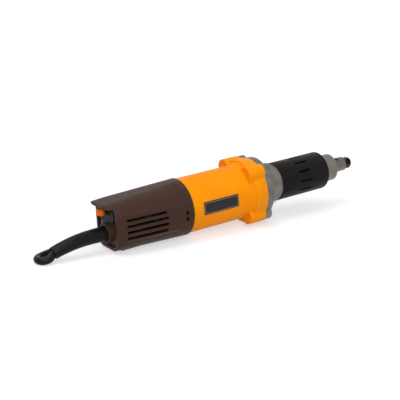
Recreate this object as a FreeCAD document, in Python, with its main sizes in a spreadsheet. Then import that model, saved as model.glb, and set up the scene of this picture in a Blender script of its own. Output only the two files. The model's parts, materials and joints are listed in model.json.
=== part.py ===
import FreeCAD, Part
import math
import os
import re
import Sketcher

# Straight die grinder, in millimetres and degrees.
# Every piece is drawn along the spindle axis, X forward and Z up, from the seam between the two
# plastic housings. The finished pieces are then laid at rest: nose slightly up on the flange foot
# and the tail foot, with the origin at the mouth of the collet.
SIZES = {
    # Rear housing
    "body_radius": 31.0,
    "shell_wall": 2.6,
    "rear_length": 91.5,
    "tail_width": 44.0,
    "tail_height": 53.0,
    "tail_corner": 12.0,
    "tail_taper": 5.5,
    "rear_width": 51.0,
    "rear_height": 54.0,
    "rear_corner": 16.5,
    "rear_lift": 0.6,
    "tail_rim": 3.6,
    "tail_foot_inset": 11.5,
    "seam_lip": 1.1,
    "seam_flat": 1.0,
    "seam_bevel": 0.8,
    "hood_reach": 10.0,
    "hood_thickness": 3.5,
    "hood_shrink": 0.8,
    "hood_tip_half": 11.0,
    "hood_shoulder_half": 18.0,
    "hood_shoulder_reach": 7.7,
    "hood_side_half": 26.0,
    "hood_side_inset": 1.0,
    "panel_half_tail": 24.8,
    "panel_half_rear": 26.9,
    "panel_half_front": 31.2,
    "panel_depth_below": 16.0,
    "panel_corner": 3.0,
    "panel_bevel": 8.0,
    "panel_front": 20.0,
    "panel_step_front": 40.0,
    "panel_step_rear": 49.0,
    "ridge_half_tail": 22.0,
    "ridge_half_rear": 19.8,
    "ridge_half_front": 27.4,
    "ridge_height_tail": 20.0,
    "ridge_height_rear": 24.2,
    "ridge_height_front": 16.2,
    "shoulder_height_rear": 15.8,
    "shoulder_height_front": 12.7,
    "vent_height": 3.4,
    "vent_pitch": 6.7,
    "vent_top": 9.4,
    "vent_inset": 10.0,
    "vent_length": 47.5,
    "vent_stagger": 2.0,
    "slit_length": 3.2,
    "slit_height": 4.6,
    "slit_pitch": 6.8,
    "slit_front": 7.4,
    "slit_top": 5.0,
    "gill_radius": 1.6,
    "gill_depth": 1.1,
    "gill_pitch": 5.5,
    "gill_front": 10.0,
    "gill_spread_angle": 38.0,
    "gill_middle_angle": 36.0,
    "tail_foot_drop": 29.44,
    "tail_foot_half_width": 8.0,
    "tail_foot_length": 36.0,
    # Tail plate, its switch lever and the cord's boot
    "cap_recess": 2.0,
    "cap_thickness": 3.0,
    "cap_gap": 0.3,
    "cap_screw_aside": 15.0,
    "cap_screw_radius": 1.3,
    "cap_screw_length": 9.0,
    "cap_screw_head_radius": 2.6,
    "cap_screw_head_height": 1.2,
    "cap_post_radius": 3.2,
    "cap_post_rib": 2.4,
    "gland_drop": 8.0,
    "gland_outer_radius": 11.0,
    "gland_wall": 2.4,
    "gland_reach": 5.8,
    "plate_half_width": 14.5,
    "plate_low": 4.5,
    "plate_high": 20.6,
    "plate_thickness": 1.6,
    "lever_height": 15.6,
    "lever_thickness": 3.6,
    "lever_length": 14.6,
    "lever_width": 5.0,
    "lever_hub_radius": 4.5,
    "lever_knob_radius": 4.4,
    "lever_knob_height": 8.1,
    "lever_knob_round": 1.8,
    "lever_pin_radius": 1.5,
    "lever_pin_length": 13.4,
    "lever_pin_inset": 10.0,
    "lever_rest_angle": 12.0,
    "lever_swing": 24.0,
    "lever_gap": 0.4,
    "lever_slot_margin": 2.4,
    "bracket_ear": 1.6,
    "bracket_web": 2.0,
    "switch_clearance": 12.0,
    "switch_width": 22.0,
    "switch_depth": 20.0,
    "switch_gap": 9.0,
    "boot_root_radius": 8.2,
    "boot_tip_radius": 6.9,
    "boot_straight": 15.7,
    "boot_bend_radius": 130.0,
    "boot_bend_angle": 20.0,
    "boot_lean_angle": 14.0,
    "boot_head_radius": 10.2,
    "boot_head_length": 3.0,
    # Motor housing
    "housing_wall": 3.4,
    "flange_rear": 81.5,
    "flange_front": 97.0,
    "flange_step": 4.4,
    "lobe_rear": 76.0,
    "lobe_outset": 1.4,
    "lobe_radius": 9.0,
    "lobe_angle": 49.0,
    "lobe_valley": 3.0,
    "cove_radius": 3.0,
    "flange_foot_drop": 38.5,
    "flange_foot_half_width": 8.0,
    "flange_foot_length": 11.0,
    "label_rear": 13.0,
    "label_length": 46.0,
    "label_height": 14.4,
    "label_middle": 1.8,
    "label_thickness": 0.4,
    # Neck casting and grip
    "casting_flange_thickness": 9.0,
    "casting_inset": 0.6,
    "skirt_length": 6.5,
    "collar_radius": 21.5,
    "collar_front": 129.5,
    "tube_radius": 18.9,
    "tube_wall": 3.1,
    "grip_front": 199.2,
    "grip_radius": 22.2,
    "grip_round": 2.4,
    "grip_gap": 0.1,
    "window_length": 17.0,
    "window_width": 2.6,
    "window_middle_share": 0.49,
    "window_count": 12.0,
    "nose_radius": 16.0,
    "nose_front": 217.5,
    "nose_chamfer": 1.2,
    "screw_radius": 2.0,
    "screw_length": 22.0,
    "screw_head_radius": 3.6,
    "screw_head_height": 2.6,
    "screw_clearance": 0.2,
    # Spindle, collet and nut
    "spindle_radius": 6.0,
    "spindle_rear": 103.0,
    "nose_spindle_radius": 8.5,
    "nose_spindle_gap": 0.7,
    "flat_half_width": 7.0,
    "flat_rear": 219.0,
    "flat_length": 9.0,
    "thread_radius": 4.75,
    "thread_length": 8.6,
    "nose_spindle_front": 236.6,
    "mouth_front": 247.0,
    "collet_bore_radius": 3.0,
    "collet_radius": 3.8,
    "collet_length": 22.0,
    "collet_nose_radius": 4.35,
    "collet_nose_length": 6.0,
    "collet_slot": 0.6,
    "collet_slot_length": 17.0,
    "collet_gap": 0.08,
    "nut_flats": 12.0,
    "nut_gap": 0.3,
    "nut_mouth_radius": 3.95,
    "nut_chamfer": 0.8,
    # Bearings
    "bearing_outer_radius": 14.0,
    "bearing_width": 8.0,
    "bearing_stop": 2.4,
    "front_bearing_rear": 202.0,
    "middle_bearing_rear": 112.0,
    "race_thickness": 2.3,
    "ball_radius": 2.2,
    "ball_gap": 0.03,
    "ball_count": 7.0,
    "tail_bearing_outer_radius": 11.0,
    "tail_bearing_width": 7.0,
    "tail_bearing_front": 29.0,
    "tail_race_thickness": 1.9,
    "tail_ball_radius": 1.6,
    "carrier_wall": 2.6,
    "carrier_arm_width": 8.0,
    "carrier_gap": 0.1,
    # Motor
    "shaft_radius": 4.0,
    "shaft_rear": 38.0,
    "coupling_radius": 9.0,
    "coupling_rear": 90.0,
    "coupling_length": 19.0,
    "core_rear": 15.0,
    "core_length": 42.0,
    "stator_thickness": 9.5,
    "core_slot_width": 2.4,
    "core_slot_depth": 4.5,
    "core_slot_count": 12.0,
    "air_gap": 0.6,
    "winding_inset": 2.0,
    "winding_inner_radius": 6.5,
    "winding_reach": 6.0,
    "field_reach": 7.0,
    "field_inset": 1.6,
    "commutator_radius": 11.0,
    "commutator_front": 4.0,
    "commutator_length": 17.0,
    "brush_width": 8.0,
    "brush_thickness": 5.0,
    "brush_length": 9.0,
    "brush_gap": 0.2,
    "holder_wall": 1.2,
    "holder_gap": 0.8,
    "fan_rear": 70.0,
    "fan_width": 9.0,
    "fan_inset": 2.6,
    "fan_plate": 1.5,
    "fan_hub_radius": 8.0,
    "fan_blade": 1.4,
    "fan_count": 12.0,
    "baffle_rear": 65.5,
    "baffle_thickness": 1.8,
    "baffle_lap": 6.0,
    # Cord and plug
    "cord_diameter": 8.0,
    "coil_outer_radius": 55.0,
    "coil_pitch": 8.7,
    "coil_turns_in": 3.5,
    "coil_turns_out": 2.625,
    "plug_length": 36.0,
    "plug_width": 34.0,
    "plug_thickness": 18.0,
    "plug_round": 5.0,
    "plug_neck_length": 16.0,
    "plug_neck_radius": 6.0,
    "prong_length": 19.0,
    "prong_radius": 2.4,
    "prong_half_spacing": 9.5,
    "cut_overrun": 5.0,
    "match_within": 0.001,
}

doc = FreeCAD.newDocument("straight_die_grinder")
sheet = doc.addObject("Spreadsheet::Sheet", "Sizes")
for row, (alias, amount) in enumerate(SIZES.items(), start=1):
    sheet.set(f"A{row}", alias)
    sheet.set(f"B{row}", str(amount))
    sheet.setAlias(f"B{row}", alias)
doc.recompute()


def bound(text):
    """A sum of sheet names as an expression that other objects can hold."""
    return re.sub(r"\b([a-z]+_[a-z_]+)\b", r"Sizes.\1", text)


def size(text):
    """The value of a sum of sheet names."""
    return float(sheet.evalExpression(text))


# Stations and sizes that follow from the driving ones
HOOD_UNDERSIDE = "tail_height / 2 - hood_thickness"
HOOD_TIP = "(-rear_length - hood_reach)"
SEAM_RADIUS = "(body_radius + seam_lip)"
TAPER_FRONT = "(tail_taper - rear_length)"
CAP_REAR = "(cap_recess - rear_length)"
PIN_STATION = "(lever_pin_inset - rear_length)"
NOSE_SEAT_FRONT = "(front_bearing_rear + bearing_width)"
THREAD_FRONT = "(nose_spindle_front + thread_length)"
COLLET_REAR = "(mouth_front - collet_length)"
CORE_FRONT = "(core_rear + core_length)"
FLANGE_RADIUS = "(body_radius + flange_step)"
LOBE_OFFSET = "(body_radius + lobe_outset)"
STATOR_RADIUS = "(body_radius - housing_wall)"
CORE_RADIUS = f"({STATOR_RADIUS} - stator_thickness - air_gap)"
FAN_RADIUS = f"({STATOR_RADIUS} - fan_inset)"
FOOT_SPAN = "(flange_front - flange_foot_length + rear_length - tail_foot_inset)"
REST_TILT = math.degrees(math.atan(size(f"(flange_foot_drop - tail_foot_drop) / {FOOT_SPAN}")))

# The resting position of the whole tool: mouth of the collet at the origin
tilt = FreeCAD.Rotation(FreeCAD.Vector(0, 1, 0), -REST_TILT)
mouth = FreeCAD.Vector(size("mouth_front"), 0, 0)
RESTING = FreeCAD.Placement(tilt.multVec(mouth) * -1, tilt)
foot_edge = FreeCAD.Vector(size("flange_front - flange_foot_length"), 0, -size("flange_foot_drop"))
FLOOR = RESTING.multVec(foot_edge).z

parts = []


def new_body(label):
    """An empty body that becomes the sub-part called label."""
    body = doc.addObject("PartDesign::Body", label)
    body.Label = label
    body.AllowCompound = True
    parts.append(body)
    return body


def new_sketch(body, plane, offset="0"):
    """A sketch on one of the body's own origin planes, moved off it by offset."""
    sketch = body.newObject("Sketcher::SketchObject", body.Name + "_sketch")
    support = [item for item in body.Origin.OriginFeatures if item.Role == plane][0]
    sketch.AttachmentSupport = (support, "")
    sketch.MapMode = "FlatFace"
    if offset != "0":
        sketch.AttachmentOffset = FreeCAD.Placement(FreeCAD.Vector(0, 0, size(offset)), FreeCAD.Rotation())
        sketch.setExpression("AttachmentOffset.Base.z", bound(offset))
    return sketch


def hold(sketch, kind, geometry, point, text):
    """Hold one coordinate of a sketch point at a sum of sheet names."""
    index = sketch.addConstraint(Sketcher.Constraint(kind, -1, 1, geometry, point, size(text)))
    if re.search("[a-z]", text):
        sketch.setExpression(f"Constraints[{index}]", bound(text))


def polygon(sketch, corners):
    """A closed outline of straight edges whose corners are sums of sheet names."""
    first = sketch.GeometryCount
    places = [FreeCAD.Vector(size(across), size(along), 0) for across, along in corners]
    count = len(corners)
    for index in range(count):
        edge = Part.LineSegment(places[index], places[(index + 1) % count])
        sketch.addGeometry(edge, False)
    for index in range(count):
        follower = first + (index + 1) % count
        sketch.addConstraint(Sketcher.Constraint("Coincident", first + index, 2, follower, 1))
    for index, (across, along) in enumerate(corners):
        hold(sketch, "DistanceX", first + index, 1, across)
        hold(sketch, "DistanceY", first + index, 1, along)


def box(sketch, left, right, low, high):
    """A closed rectangle given by its four sides."""
    polygon(sketch, [(left, low), (right, low), (right, high), (left, high)])


def circle(sketch, across, along, radius):
    """A circle whose centre and radius are sums of sheet names."""
    centre = FreeCAD.Vector(size(across), size(along), 0)
    index = sketch.addGeometry(Part.Circle(centre, FreeCAD.Vector(0, 0, 1), size(radius)), False)
    hold(sketch, "DistanceX", index, 3, across)
    hold(sketch, "DistanceY", index, 3, along)
    rim = sketch.addConstraint(Sketcher.Constraint("Radius", index, size(radius)))
    sketch.setExpression(f"Constraints[{rim}]", bound(radius))


def rounded_box(sketch, half_width, half_height, corner, lift="0"):
    """A rectangle about a centre lifted above the origin, with tangent arcs at its corners."""
    wide, high, arc, up = size(half_width), size(half_height), size(corner), size(lift)
    flat_x, flat_y = wide - arc, high - arc
    sides = [
        ((-flat_x, -high), (flat_x, -high)),
        ((wide, -flat_y), (wide, flat_y)),
        ((flat_x, high), (-flat_x, high)),
        ((-wide, flat_y), (-wide, -flat_y)),
    ]
    centres = [(flat_x, -flat_y), (flat_x, flat_y), (-flat_x, flat_y), (-flat_x, -flat_y)]
    for turn, (side, centre) in enumerate(zip(sides, centres)):
        start, end = (FreeCAD.Vector(across, along + up, 0) for across, along in side)
        sketch.addGeometry(Part.LineSegment(start, end), False)
        whole = Part.Circle(FreeCAD.Vector(centre[0], centre[1] + up, 0), FreeCAD.Vector(0, 0, 1), arc)
        opening = math.radians(90 * (turn - 1))
        sketch.addGeometry(Part.ArcOfCircle(whole, opening, opening + math.radians(90)), False)
    for index in range(8):
        sketch.addConstraint(Sketcher.Constraint("Tangent", index, 2, (index + 1) % 8, 1))
    for index, kind in ((0, "Horizontal"), (2, "Vertical"), (4, "Horizontal"), (6, "Vertical")):
        sketch.addConstraint(Sketcher.Constraint(kind, index))
    for index in (3, 5, 7):
        sketch.addConstraint(Sketcher.Constraint("Equal", 1, index))
    rim = sketch.addConstraint(Sketcher.Constraint("Radius", 1, arc))
    sketch.setExpression(f"Constraints[{rim}]", bound(corner))
    hold(sketch, "DistanceY", 0, 1, f"{lift} - ({half_height})")
    hold(sketch, "DistanceX", 2, 1, half_width)
    hold(sketch, "DistanceY", 4, 1, f"{lift} + {half_height}")
    hold(sketch, "DistanceX", 6, 1, f"-({half_width})")


def feature(body, kind, sketch, length=None, backwards=False, both_ways=False):
    """A pad or pocket of a sketch, by a length or, without one, through everything."""
    made = body.newObject("PartDesign::" + kind, f"{body.Name}_{kind.lower()}")
    made.Profile = sketch
    if length is None:
        made.Type = "ThroughAll"
    else:
        made.Length = size(length)
        made.setExpression("Length", bound(length))
    if both_ways:
        made.SideType = "Symmetric"
    made.Reversed = backwards
    sketch.Visibility = False
    return made


def turned(body, corners, kind="Revolution"):
    """A solid or a cut of revolution about the spindle axis from stations and radii."""
    sketch = new_sketch(body, "XZ_Plane")
    polygon(sketch, corners)
    made = body.newObject("PartDesign::" + kind, f"{body.Name}_{kind.lower()}")
    made.Profile = sketch
    made.ReferenceAxis = (sketch, ["H_Axis"])
    made.Angle = 360
    return made


def ring(label, rear, front, outer, inner):
    """A plain ring about the spindle axis."""
    body = new_body(label)
    turned(body, [(rear, inner), (rear, outer), (front, outer), (front, inner)])
    return body


def around(body, original, count):
    """Copies of a feature spread evenly about the spindle axis."""
    pattern = body.newObject("PartDesign::PolarPattern", body.Name + "_pattern")
    pattern.Originals = [original]
    axis = [item for item in body.Origin.OriginFeatures if item.Role == "X_Axis"][0]
    pattern.Axis = (axis, [""])
    pattern.Angle = 360
    pattern.Occurrences = int(size(count))
    pattern.setExpression("Occurrences", bound(count))
    body.Tip = pattern
    return pattern


def round_edges(body, radius, chosen, kind="Fillet"):
    """Round or bevel the edges of the body's last feature that chosen accepts."""
    doc.recompute()
    base = body.Tip
    names = [f"Edge{index}" for index, edge in enumerate(base.Shape.Edges, start=1) if chosen(edge)]
    made = body.newObject("PartDesign::" + kind, f"{body.Name}_{kind.lower()}")
    made.Base = (base, names)
    field = "Radius" if kind == "Fillet" else "Size"
    setattr(made, field, size(radius))
    made.setExpression(field, bound(radius))
    body.Tip = made
    return made


def matches(amount, text):
    """Whether a measured length is the one that the sheet gives."""
    return abs(amount - size(text)) < size("match_within")


def rim_at(edge, station, radius):
    """Whether an edge is a circle about the spindle axis at a station and radius."""
    curve = edge.Curve
    if curve.TypeId != "Part::GeomCircle":
        return False
    centred = matches(math.hypot(curve.Center.y, curve.Center.z), "0")
    return centred and matches(curve.Center.x, station) and matches(curve.Radius, radius)


def plain_part(label, shape):
    """A sub-part whose shape is worked out here from the sheet."""
    item = doc.addObject("Part::Feature", label)
    item.Label = label
    item.Shape = shape
    parts.append(item)
    return item


# Rear housing: a shell that tapers in at the tail and changes from a rounded box to a circle at the seam

def tail_section(sketch, depth, inset):
    """The tail's outline at a depth forward of its rear edge, drawn in by inset."""
    widening = f"(rear_width - tail_width) / 2 * ({depth}) / tail_taper"
    rising = f"(rear_height - tail_height) / 2 * ({depth}) / tail_taper"
    opening = f"(rear_corner - tail_corner) * ({depth}) / tail_taper"
    rounded_box(sketch, f"tail_width / 2 + {widening} - ({inset})", f"tail_height / 2 + {rising} - ({inset})",
                f"tail_corner + {opening} - ({inset})", "rear_lift")


def side_inside(station):
    """Half the shell's inner width at a station between the tail taper and the seam."""
    share = f"(rear_length - tail_taper + {station}) / (rear_length - tail_taper)"
    return f"(rear_width / 2 + (body_radius - rear_width / 2) * {share} - shell_wall)"


def loft(body, kind, first, others):
    made = body.newObject("PartDesign::" + kind, body.Name + "_loft")
    made.Profile = first
    made.Sections = others
    made.Ruled = True
    return made


def hood(body):
    """A visor that carries the rear outline past the tail, thinned from below and drawn in at its corners."""
    tip = new_sketch(body, "YZ_Plane", HOOD_TIP)
    rounded_box(tip, "rear_width / 2 - hood_shrink", "rear_height / 2 - hood_shrink", "rear_corner", "rear_lift")
    root = new_sketch(body, "YZ_Plane", TAPER_FRONT)
    tail_section(root, "tail_taper", "0")
    loft(body, "AdditiveLoft", tip, [root])
    corners = new_sketch(body, "XY_Plane")
    behind = f"{HOOD_TIP} - cut_overrun"
    beside = "hood_side_half + cut_overrun"
    for side in ("", "-"):
        polygon(corners, [
            (behind, f"{side}hood_tip_half"),
            (HOOD_TIP, f"{side}hood_tip_half"),
            ("-rear_length - hood_shoulder_reach", f"{side}hood_shoulder_half"),
            ("hood_side_inset - rear_length", f"{side}hood_side_half"),
            ("hood_side_inset - rear_length", f"{side}({beside})"),
            (behind, f"{side}({beside})"),
        ])
    feature(body, "Pocket", corners, "4 * body_radius", both_ways=True)
    under = new_sketch(body, "XZ_Plane")
    box(under, behind, TAPER_FRONT, "-body_radius - cut_overrun", HOOD_UNDERSIDE)
    feature(body, "Pocket", under, "4 * body_radius", both_ways=True)


def side_panels(body):
    """Raised flanks with a bevelled shoulder whose ridge rises from the tail and steps down before the seam."""
    full = f"(rear_length - tail_taper - panel_bevel)"
    slope = f"(panel_half_front - panel_half_rear) / ({full} - panel_front)"
    rows = [
        ("(rear_length - tail_taper)", "panel_half_tail", "tail", "shoulder_height_rear"),
        (full, "panel_half_rear", "rear", "shoulder_height_rear"),
        ("panel_step_rear", f"panel_half_rear + ({full} - panel_step_rear) * {slope}", "rear",
         "(shoulder_height_rear + shoulder_height_front) / 2"),
        ("panel_step_front", f"panel_half_rear + ({full} - panel_step_front) * {slope}", "front",
         "shoulder_height_front"),
        ("panel_front", "panel_half_front", "front", "shoulder_height_front"),
    ]
    sections = []
    for station, half, place, shoulder in rows:
        section = new_sketch(body, "YZ_Plane", f"-{station}")
        polygon(section, [
            (f"-({half})", "panel_corner - panel_depth_below"),
            (f"panel_corner - ({half})", "-panel_depth_below"),
            (f"{half} - panel_corner", "-panel_depth_below"),
            (half, "panel_corner - panel_depth_below"),
            (half, shoulder),
            (f"ridge_half_{place}", f"ridge_height_{place}"),
            (f"-ridge_half_{place}", f"ridge_height_{place}"),
            (f"-({half})", shoulder),
        ])
        sections.append(section)
    loft(body, "AdditiveLoft", sections[0], sections[1:])


def shell_lofts(body, kind, rim, wall, seam_radius):
    """The tail's taper and the long change to the round seam, drawn in by a rim and a wall."""
    for station, depth, inset in (("-rear_length", "0", rim), (TAPER_FRONT, "tail_taper", wall)):
        section = new_sketch(body, "YZ_Plane", station)
        tail_section(section, depth, inset)
        if depth == "0":
            rear = section
    loft(body, kind, rear, [section])
    knee = new_sketch(body, "YZ_Plane", TAPER_FRONT)
    tail_section(knee, "tail_taper", wall)
    seam = new_sketch(body, "YZ_Plane")
    rounded_box(seam, seam_radius, seam_radius, f"{seam_radius} - seam_flat / 2")
    loft(body, kind, knee, [seam])


def gills(body):
    """Three shallow finger grooves over each upper shoulder, just behind the seam."""
    for side in (1, -1):
        sketch = new_sketch(body, "XZ_Plane")
        lean = side * size("gill_middle_angle")
        sketch.AttachmentOffset = FreeCAD.Placement(FreeCAD.Vector(), FreeCAD.Rotation(FreeCAD.Vector(1, 0, 0), lean))
        for index in range(3):
            circle(sketch, f"-gill_front - {index} * gill_pitch", f"{SEAM_RADIUS} - gill_depth + gill_radius",
                   "gill_radius")
        made = body.newObject("PartDesign::Groove", "rear_housing_gills")
        made.Profile = sketch
        made.ReferenceAxis = (sketch, ["H_Axis"])
        made.Midplane = True
        made.Angle = size("gill_spread_angle")


def cap_posts(body):
    """Two posts on ribs that take the tail plate's screws."""
    front = f"({CAP_REAR} + cap_thickness)"
    posts = new_sketch(body, "YZ_Plane", front)
    for side in ("", "-"):
        circle(posts, f"{side}cap_screw_aside", "0", "cap_post_radius")
    feature(body, "Pad", posts, "cap_screw_length")
    ribs = new_sketch(body, "YZ_Plane", front)
    wall = f"(tail_width / 2 + (rear_width - tail_width) / 2 * (cap_recess + cap_thickness) / tail_taper)"
    for side in (1, -1):
        near, far = ("cap_screw_aside", f"{wall} - shell_wall / 2")
        left, right = (near, far) if side > 0 else (f"-({far})", f"-{near}")
        box(ribs, left, right, "-cap_post_rib / 2", "cap_post_rib / 2")
    feature(body, "Pad", ribs, "cap_screw_length")
    holes = new_sketch(body, "YZ_Plane", front)
    for side in ("", "-"):
        circle(holes, f"{side}cap_screw_aside", "0", "cap_screw_radius")
    feature(body, "Pocket", holes, "4 * cap_screw_length", both_ways=True)


def rear_housing():
    body = new_body("rear_housing")
    hood(body)
    shell_lofts(body, "AdditiveLoft", "0", "0", SEAM_RADIUS)
    side_panels(body)
    foot = new_sketch(body, "XZ_Plane")
    foot_rear = "tail_foot_inset - rear_length"
    box(foot, foot_rear, f"{foot_rear} + tail_foot_length", "-tail_foot_drop", "-tail_height / 2 + shell_wall")
    feature(body, "Pad", foot, "2 * tail_foot_half_width", both_ways=True)
    shell_lofts(body, "SubtractiveLoft", "tail_rim", "shell_wall", "(body_radius - shell_wall)")
    cap_posts(body)

    # Air slots and the two small slits, through both flanks at once
    slots = new_sketch(body, "XZ_Plane")
    for index in range(4):
        top = f"vent_top + vent_height / 2 - {index} * vent_pitch"
        front = "vent_inset - rear_length + vent_length"
        if index in (1, 2):
            front += " + vent_stagger"
        box(slots, "vent_inset - rear_length", front, f"{top} - vent_height", top)
    feature(body, "Pocket", slots, "4 * body_radius", both_ways=True)
    slits = new_sketch(body, "XZ_Plane")
    for index in range(2):
        top = f"slit_top - {index} * slit_pitch"
        box(slits, "-slit_front - slit_length", "-slit_front", f"{top} - slit_height", top)
    feature(body, "Pocket", slits, "4 * body_radius", both_ways=True)
    turned(body, [
        ("-seam_bevel", SEAM_RADIUS),
        ("0", f"{SEAM_RADIUS} - seam_bevel"),
        ("cut_overrun", f"{SEAM_RADIUS} - seam_bevel"),
        ("cut_overrun", f"{SEAM_RADIUS} + cut_overrun"),
        ("-seam_bevel", f"{SEAM_RADIUS} + cut_overrun"),
    ], kind="Groove")
    gills(body)
    return body


rear_housing()


# Tail plate: closes the shell, carries the gland round the boot and a window for the lever

def tail_cap():
    body = new_body("tail_cap")
    rim = "tail_rim + (shell_wall - tail_rim) / tail_taper"
    rear = new_sketch(body, "YZ_Plane", CAP_REAR)
    tail_section(rear, "cap_recess", f"{rim} * cap_recess + cap_gap")
    front = new_sketch(body, "YZ_Plane", f"{CAP_REAR} + cap_thickness")
    tail_section(front, "cap_recess + cap_thickness", f"{rim} * (cap_recess + cap_thickness) + cap_gap")
    loft(body, "AdditiveLoft", rear, [front])
    gland = new_sketch(body, "YZ_Plane", CAP_REAR)
    circle(gland, "0", "-gland_drop", "gland_outer_radius")
    feature(body, "Pad", gland, "gland_reach", backwards=True)
    window = new_sketch(body, "YZ_Plane", CAP_REAR)
    box(window, "-plate_half_width + plate_thickness", "plate_half_width - plate_thickness",
        "plate_low + plate_thickness", "plate_high - plate_thickness")
    feature(body, "Pocket", window, "2 * gland_outer_radius", both_ways=True)
    seat = new_sketch(body, "YZ_Plane", CAP_REAR)
    circle(seat, "0", "-gland_drop", "gland_outer_radius - gland_wall")
    feature(body, "Pocket", seat, "4 * gland_outer_radius", both_ways=True)
    for radius, depth in (("cap_screw_head_radius + screw_clearance", "cap_screw_head_height"),
                          ("cap_screw_radius + screw_clearance", "2 * cap_thickness")):
        holes = new_sketch(body, "YZ_Plane", CAP_REAR)
        for side in ("", "-"):
            circle(holes, f"{side}cap_screw_aside", "0", radius)
        feature(body, "Pocket", holes, depth, backwards=True)
    return body


def tail_cap_screws():
    body = new_body("tail_cap_screws")
    head = new_sketch(body, "YZ_Plane", CAP_REAR)
    shank = new_sketch(body, "YZ_Plane", CAP_REAR)
    for side in ("", "-"):
        circle(head, f"{side}cap_screw_aside", "0", "cap_screw_head_radius")
        circle(shank, f"{side}cap_screw_aside", "0", "cap_screw_radius")
    feature(body, "Pad", head, "cap_screw_head_height")
    feature(body, "Pad", shank, "cap_screw_length")
    return body


def switch_plate():
    body = new_body("switch_plate")
    plate = new_sketch(body, "YZ_Plane", f"{CAP_REAR} - plate_thickness")
    box(plate, "-plate_half_width", "plate_half_width", "plate_low", "plate_high")
    feature(body, "Pad", plate, "plate_thickness")
    slot = new_sketch(body, "YZ_Plane", CAP_REAR)
    reach = "(lever_length * sin(lever_swing / 2) + lever_width / 2 + lever_slot_margin)"
    box(slot, f"-{reach}", reach,
        "lever_height - lever_thickness / 2 - lever_gap", "lever_height + lever_thickness / 2 + lever_gap")
    feature(body, "Pocket", slot, "4 * plate_thickness", both_ways=True)
    return body


tail_cap()
tail_cap_screws()
switch_plate()


# Switch lever: a hub on an upright pin and an arm through the plate's slot, with a round knob on its end

def switch_lever():
    body = new_body("switch_lever")
    low = "lever_height - lever_thickness / 2"
    hub = new_sketch(body, "XY_Plane", low)
    circle(hub, PIN_STATION, "0", "lever_hub_radius")
    feature(body, "Pad", hub, "lever_thickness")
    arm = new_sketch(body, "XY_Plane", low)
    box(arm, f"{PIN_STATION} - lever_length", PIN_STATION, "-lever_width / 2", "lever_width / 2")
    feature(body, "Pad", arm, "lever_thickness")
    bore = new_sketch(body, "XY_Plane", "lever_height")
    circle(bore, PIN_STATION, "0", "lever_pin_radius + grip_gap / 2")
    feature(body, "Pocket", bore, "4 * lever_thickness", both_ways=True)
    return body


def lever_knob():
    body = new_body("lever_knob")
    knob = new_sketch(body, "XY_Plane", "lever_height - lever_knob_height / 2")
    circle(knob, f"{PIN_STATION} - lever_length", "0", "lever_knob_radius")
    feature(body, "Pad", knob, "lever_knob_height")
    round_edges(body, "lever_knob_round", lambda edge: edge.Curve.TypeId == "Part::GeomCircle"
                and matches(edge.Curve.Radius, "lever_knob_radius"))
    socket = new_sketch(body, "XY_Plane", "lever_height")
    box(socket, f"{PIN_STATION} - lever_length", PIN_STATION, "-lever_width / 2", "lever_width / 2")
    feature(body, "Pocket", socket, "lever_thickness", both_ways=True)
    return body


switch_lever()
lever_knob()

pin = new_body("lever_pin")
pin_sketch = new_sketch(pin, "XY_Plane", "lever_height")
circle(pin_sketch, PIN_STATION, "0", "lever_pin_radius")
feature(pin, "Pad", pin_sketch, "lever_pin_length", both_ways=True)


# Switch: a block behind the lever whose bracket seats on the tail plate and holds the pin in two ears
def switch_block():
    body = new_body("switch_block")
    block_rear = f"({PIN_STATION} + switch_gap)"
    block_front = "-shaft_rear - switch_clearance"
    low = "lever_height - lever_pin_length / 2"
    high = "lever_height + lever_pin_length / 2"
    side = new_sketch(body, "XZ_Plane")
    box(side, block_rear, block_front, "lever_height - switch_depth", "lever_height")
    feature(body, "Pad", side, "switch_width", both_ways=True)
    bracket = new_sketch(body, "XZ_Plane")
    ear_rear = f"{CAP_REAR} + cap_thickness"
    polygon(bracket, [
        (ear_rear, low),
        (block_rear, low),
        (block_rear, high),
        (ear_rear, high),
        (ear_rear, f"{high} - bracket_ear"),
        (f"{block_rear} - bracket_web", f"{high} - bracket_ear"),
        (f"{block_rear} - bracket_web", f"{low} + bracket_ear"),
        (ear_rear, f"{low} + bracket_ear"),
    ])
    feature(body, "Pad", bracket, "2 * lever_hub_radius", both_ways=True)
    bore = new_sketch(body, "XY_Plane", "lever_height")
    circle(bore, PIN_STATION, "0", "lever_pin_radius")
    feature(body, "Pocket", bore, "2 * lever_pin_length", both_ways=True)
    return body


switch_block()


# Motor housing: a tube with a stout front flange, four screw lobes and a foot

def four_around(body, original):
    """Four copies of a feature about the spindle axis."""
    pattern = body.newObject("PartDesign::PolarPattern", body.Name + "_four")
    pattern.Originals = [original]
    axis = [item for item in body.Origin.OriginFeatures if item.Role == "X_Axis"][0]
    pattern.Axis = (axis, [""])
    pattern.Angle = 360
    pattern.Occurrences = 4
    body.Tip = pattern
    return pattern


def lobe_circles(body, station, radius):
    """A circle on each of the four lobes, mirrored about the upright and the level plane."""
    sketch = new_sketch(body, "YZ_Plane", station)
    for side in ("", "-"):
        for level in ("", "-"):
            circle(sketch, f"{side}{LOBE_OFFSET} * cos(lobe_angle)", f"{level}{LOBE_OFFSET} * sin(lobe_angle)", radius)
    return sketch


def lobes(body, rear, length, radius):
    """Four screw lobes about the spindle axis."""
    return feature(body, "Pad", lobe_circles(body, rear, radius), length)


def lobe_holes(body, rear, length, radius):
    """Four screw holes through the lobes, forward from a station."""
    return feature(body, "Pocket", lobe_circles(body, rear, radius), length, backwards=True)


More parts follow.
